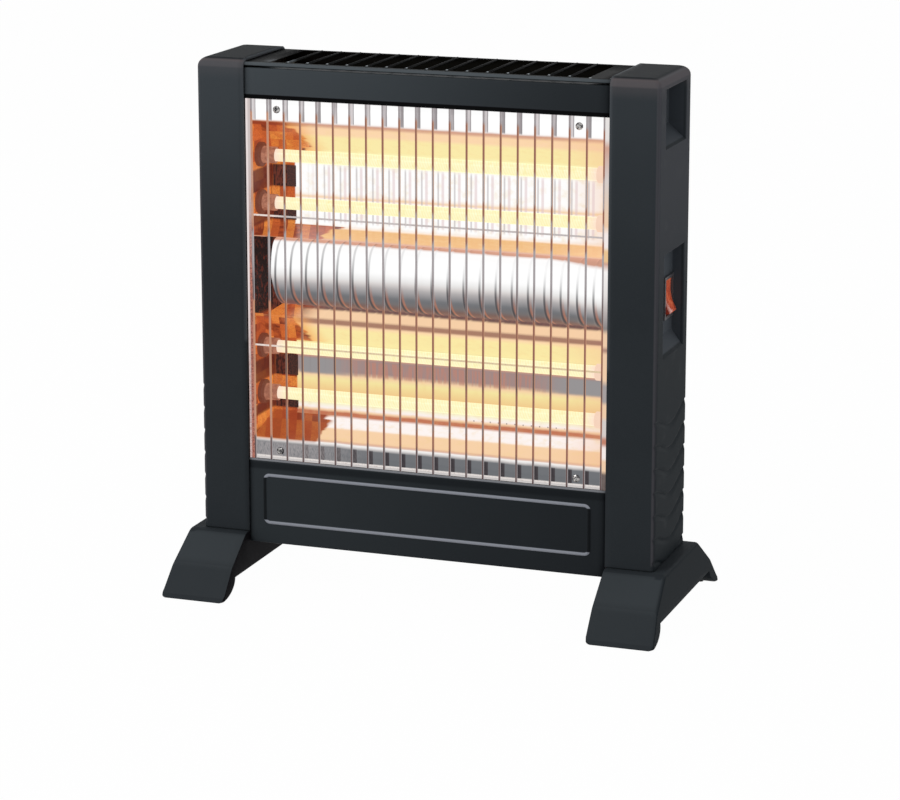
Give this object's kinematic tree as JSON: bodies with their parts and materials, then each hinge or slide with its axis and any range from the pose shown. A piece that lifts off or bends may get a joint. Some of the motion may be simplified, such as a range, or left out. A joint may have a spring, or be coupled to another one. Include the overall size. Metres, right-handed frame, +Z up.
{
  "type": "quartz tube heater",
  "caption": "Free-standing radiant heater: two side posts on splayed feet, wire guard, ribbed reflector with glowing quartz tubes, side hand grips and a rocker switch.",
  "frame": {"origin": "on the floor, under the middle of the heater", "axes": "+Z up, -Y out of the front through the wire guard, +X towards the side that carries the rocker switch"},
  "size_m": [0.4978, 0.236, 0.5223],
  "materials": {
    "plastic": "charcoal moulded plastic, satin",
    "enamel": "charcoal stove enamel on sheet steel, semi-gloss",
    "galvanised": "galvanised sheet steel",
    "screw_steel": "zinc-plated steel",
    "polished_reflector": "polished reflector sheet, lit by the tubes",
    "chrome_wire": "chrome-plated wire",
    "quartz": "quartz glass, glowing",
    "filament": "resistance wire, glowing",
    "ceramic": "steatite ceramic",
    "switch_plastic": "black switch plastic",
    "rocker_red": "translucent red-orange rocker, lit",
    "pad_rubber": "black rubber",
    "lead_brown": "brown sleeved wire",
    "lead_blue": "blue sleeved wire",
    "lead_black": "black sheathed cable"
  },
  "bodies": {
    "heater": {"right_post": "plastic", "left_post": "plastic", "right_foot": "plastic", "left_foot": "plastic", "top_grille": "enamel", "upper_front_panel": "enamel", "lower_front_panel": "enamel", "back_cover": "enamel", "base_plate": "galvanised", "right_end_plate": "galvanised", "left_end_plate": "galvanised", "thermal_cutout": "galvanised", "right_lower_back_screw": "screw_steel", "right_upper_back_screw": "screw_steel", "left_lower_back_screw": "screw_steel", "left_upper_back_screw": "screw_steel", "right_lower_flange_screw": "screw_steel", "right_upper_flange_screw": "screw_steel", "left_lower_flange_screw": "screw_steel", "left_upper_flange_screw": "screw_steel", "right_front_foot_screw": "screw_steel", "right_rear_foot_screw": "screw_steel", "left_front_foot_screw": "screw_steel", "left_rear_foot_screw": "screw_steel", "reflector": "polished_reflector", "wire_guard": "chrome_wire", "quartz_tube_1": "quartz", "quartz_tube_2": "quartz", "quartz_tube_3": "quartz", "quartz_tube_4": "quartz", "heating_coil_1": "filament", "heating_coil_2": "filament", "heating_coil_3": "filament", "heating_coil_4": "filament", "right_cap_1": "ceramic", "right_cap_2": "ceramic", "right_cap_3": "ceramic", "right_cap_4": "ceramic", "left_cap_1": "ceramic", "left_cap_2": "ceramic", "left_cap_3": "ceramic", "left_cap_4": "ceramic", "terminal_block": "ceramic", "switch_housing": "switch_plastic", "tilt_switch_housing": "switch_plastic", "cord_gland": "switch_plastic", "right_front_pad": "pad_rubber", "right_rear_pad": "pad_rubber", "left_front_pad": "pad_rubber", "left_rear_pad": "pad_rubber", "right_bus_lead": "lead_brown", "switch_lead": "lead_brown", "feed_lead": "lead_brown", "left_bus_lead": "lead_blue", "cutout_lead": "lead_blue", "return_lead": "lead_blue", "supply_lead": "lead_black"},
    "rocker": {"rocker": "rocker_red"},
    "tilt_pendulum": {"tilt_switch_pendulum": "screw_steel"}
  },
  "joints": [
    {"name": "rocker_tilt", "type": "hinge", "parent": "heater", "child": "rocker", "pos_m": [0.2145, 0.0225, 0.3053], "axis": [0, 1, 0], "range_deg": [0, 20]},
    {"name": "tilt_pendulum_swing", "type": "hinge", "parent": "heater", "child": "tilt_pendulum", "pos_m": [0.06, 0.02, 0.0719], "axis": [1, 0, 0], "range_deg": [-25, 25]}
  ]
}
